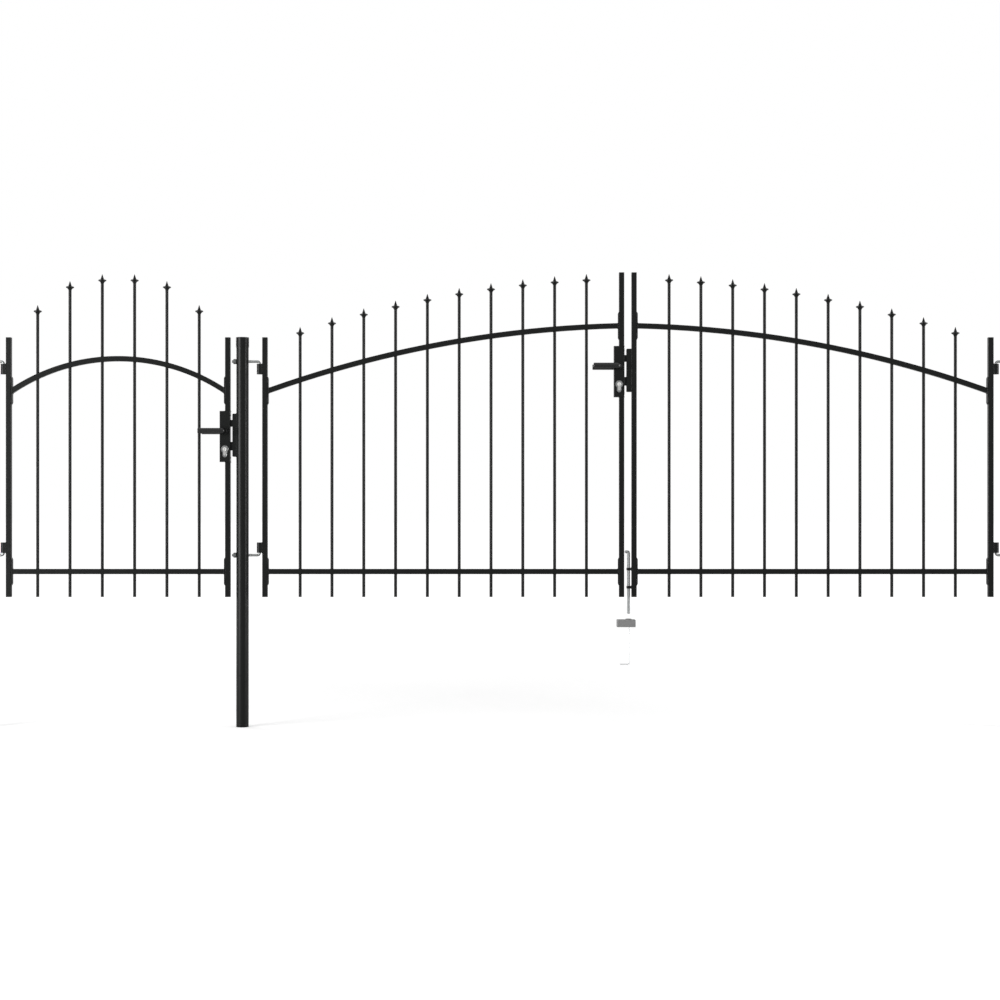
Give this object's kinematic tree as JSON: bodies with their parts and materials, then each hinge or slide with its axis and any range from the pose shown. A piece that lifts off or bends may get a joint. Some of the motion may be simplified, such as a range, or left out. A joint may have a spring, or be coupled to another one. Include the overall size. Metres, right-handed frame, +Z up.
{
  "type": "wrought iron driveway gate",
  "caption": "Driveway gate on round posts: a wicket and a double gate of arched square-tube frames with spear-topped round pickets, bent-bolt hinges, lever locks and a drop bolt.",
  "frame": {"origin": "centre of the middle post's closed foot, on its lowest face", "axes": "+X along the closed gate from the wicket to the double gate, +Y away from the viewer, +Z up"},
  "size_m": [4.037, 0.103, 1.75],
  "materials": {
    "black_powder_coat": "satin powder coat",
    "black_plastic": "moulded",
    "zinc_plate": "zinc plated",
    "grey_stop": "dull grey zinc",
    "nickel": "nickel plated",
    "lever_black": "gloss black"
  },
  "bodies": {
    "posts": {"left_post": "black_powder_coat", "middle_post": "black_powder_coat", "right_post": "black_powder_coat", "post_caps": "black_plastic", "hinge_bolts": "zinc_plate", "hinge_nuts": "zinc_plate", "middle_post_keep": "black_powder_coat", "ground_stop": "grey_stop", "ground_anchor": "zinc_plate"},
    "wicket": {"wicket_hinge_stile": "black_powder_coat", "wicket_latch_stile": "black_powder_coat", "wicket_stile_plugs": "black_plastic", "wicket_bottom_rail": "black_powder_coat", "wicket_arch_rail": "black_powder_coat", "wicket_pickets": "black_powder_coat", "wicket_end_plates": "black_powder_coat", "wicket_hinge_barrels": "black_powder_coat", "wicket_lock_case": "black_powder_coat", "wicket_lock_cylinder": "nickel", "wicket_lock_roses": "black_powder_coat"},
    "left_leaf": {"left_leaf_hinge_stile": "black_powder_coat", "left_leaf_latch_stile": "black_powder_coat", "left_leaf_stile_plugs": "black_plastic", "left_leaf_bottom_rail": "black_powder_coat", "left_leaf_arch_rail": "black_powder_coat", "left_leaf_pickets": "black_powder_coat", "left_leaf_end_plates": "black_powder_coat", "left_leaf_hinge_barrels": "black_powder_coat", "left_leaf_lock_case": "black_powder_coat", "left_leaf_lock_cylinder": "nickel", "left_leaf_lock_roses": "black_powder_coat"},
    "right_leaf": {"right_leaf_hinge_stile": "black_powder_coat", "right_leaf_latch_stile": "black_powder_coat", "right_leaf_stile_plugs": "black_plastic", "right_leaf_bottom_rail": "black_powder_coat", "right_leaf_arch_rail": "black_powder_coat", "right_leaf_pickets": "black_powder_coat", "right_leaf_end_plates": "black_powder_coat", "right_leaf_hinge_barrels": "black_powder_coat", "right_leaf_keep": "black_powder_coat", "right_leaf_bolt_guides": "black_powder_coat"},
    "wicket_lever": {"wicket_lever": "lever_black"},
    "wicket_latch": {"wicket_latch_bolt": "black_powder_coat"},
    "wicket_deadbolt": {"wicket_deadbolt": "black_powder_coat"},
    "left_leaf_lever": {"left_leaf_lever": "lever_black"},
    "left_leaf_latch": {"left_leaf_latch_bolt": "black_powder_coat"},
    "left_leaf_deadbolt": {"left_leaf_deadbolt": "black_powder_coat"},
    "drop_bolt": {"drop_bolt": "zinc_plate"}
  },
  "joints": [
    {"name": "wicket_swing", "type": "hinge", "parent": "posts", "child": "wicket", "pos_m": [-0.921, 0, 1.034], "axis": [0, 0, 1], "range_deg": [-90, 90]},
    {"name": "left_leaf_swing", "type": "hinge", "parent": "posts", "child": "left_leaf", "pos_m": [0.066, 0, 1.034], "axis": [0, 0, 1], "range_deg": [-90, 90]},
    {"name": "right_leaf_swing", "type": "hinge", "parent": "posts", "child": "right_leaf", "pos_m": [2.904, 0, 1.034], "axis": [0, 0, -1], "range_deg": [-90, 90]},
    {"name": "wicket_lever_turn", "type": "hinge", "parent": "wicket", "child": "wicket_lever", "pos_m": [-0.066, 0, 1.139], "axis": [0, -1, 0], "range_deg": [0, 35], "stiffness_Nm_per_rad": 1.5, "springref_deg": -28.65},
    {"name": "wicket_latch_slide", "type": "slide", "parent": "wicket", "child": "wicket_latch", "axis": [1, 0, 0], "range_m": [-0.0082, 0]},
    {"name": "wicket_deadbolt_slide", "type": "slide", "parent": "wicket", "child": "wicket_deadbolt", "axis": [1, 0, 0], "range_m": [-0.0082, 0.008]},
    {"name": "left_leaf_lever_turn", "type": "hinge", "parent": "left_leaf", "child": "left_leaf_lever", "pos_m": [1.451, 0, 1.389], "axis": [0, -1, 0], "range_deg": [0, 35], "stiffness_Nm_per_rad": 1.5, "springref_deg": -28.65},
    {"name": "left_leaf_latch_slide", "type": "slide", "parent": "left_leaf", "child": "left_leaf_latch", "axis": [1, 0, 0], "range_m": [-0.0082, 0]},
    {"name": "left_leaf_deadbolt_slide", "type": "slide", "parent": "left_leaf", "child": "left_leaf_deadbolt", "axis": [1, 0, 0], "range_m": [-0.0082, 0.008]},
    {"name": "drop_bolt_slide", "type": "slide", "parent": "right_leaf", "child": "drop_bolt", "axis": [0, 0, 1], "range_m": [-0.04, 0.06]}
  ],
  "couplings": [
    {"joint": "wicket_latch_slide", "follows": "wicket_lever_turn", "m_per_rad": -0.01326},
    {"joint": "left_leaf_latch_slide", "follows": "left_leaf_lever_turn", "m_per_rad": -0.01326}
  ]
}
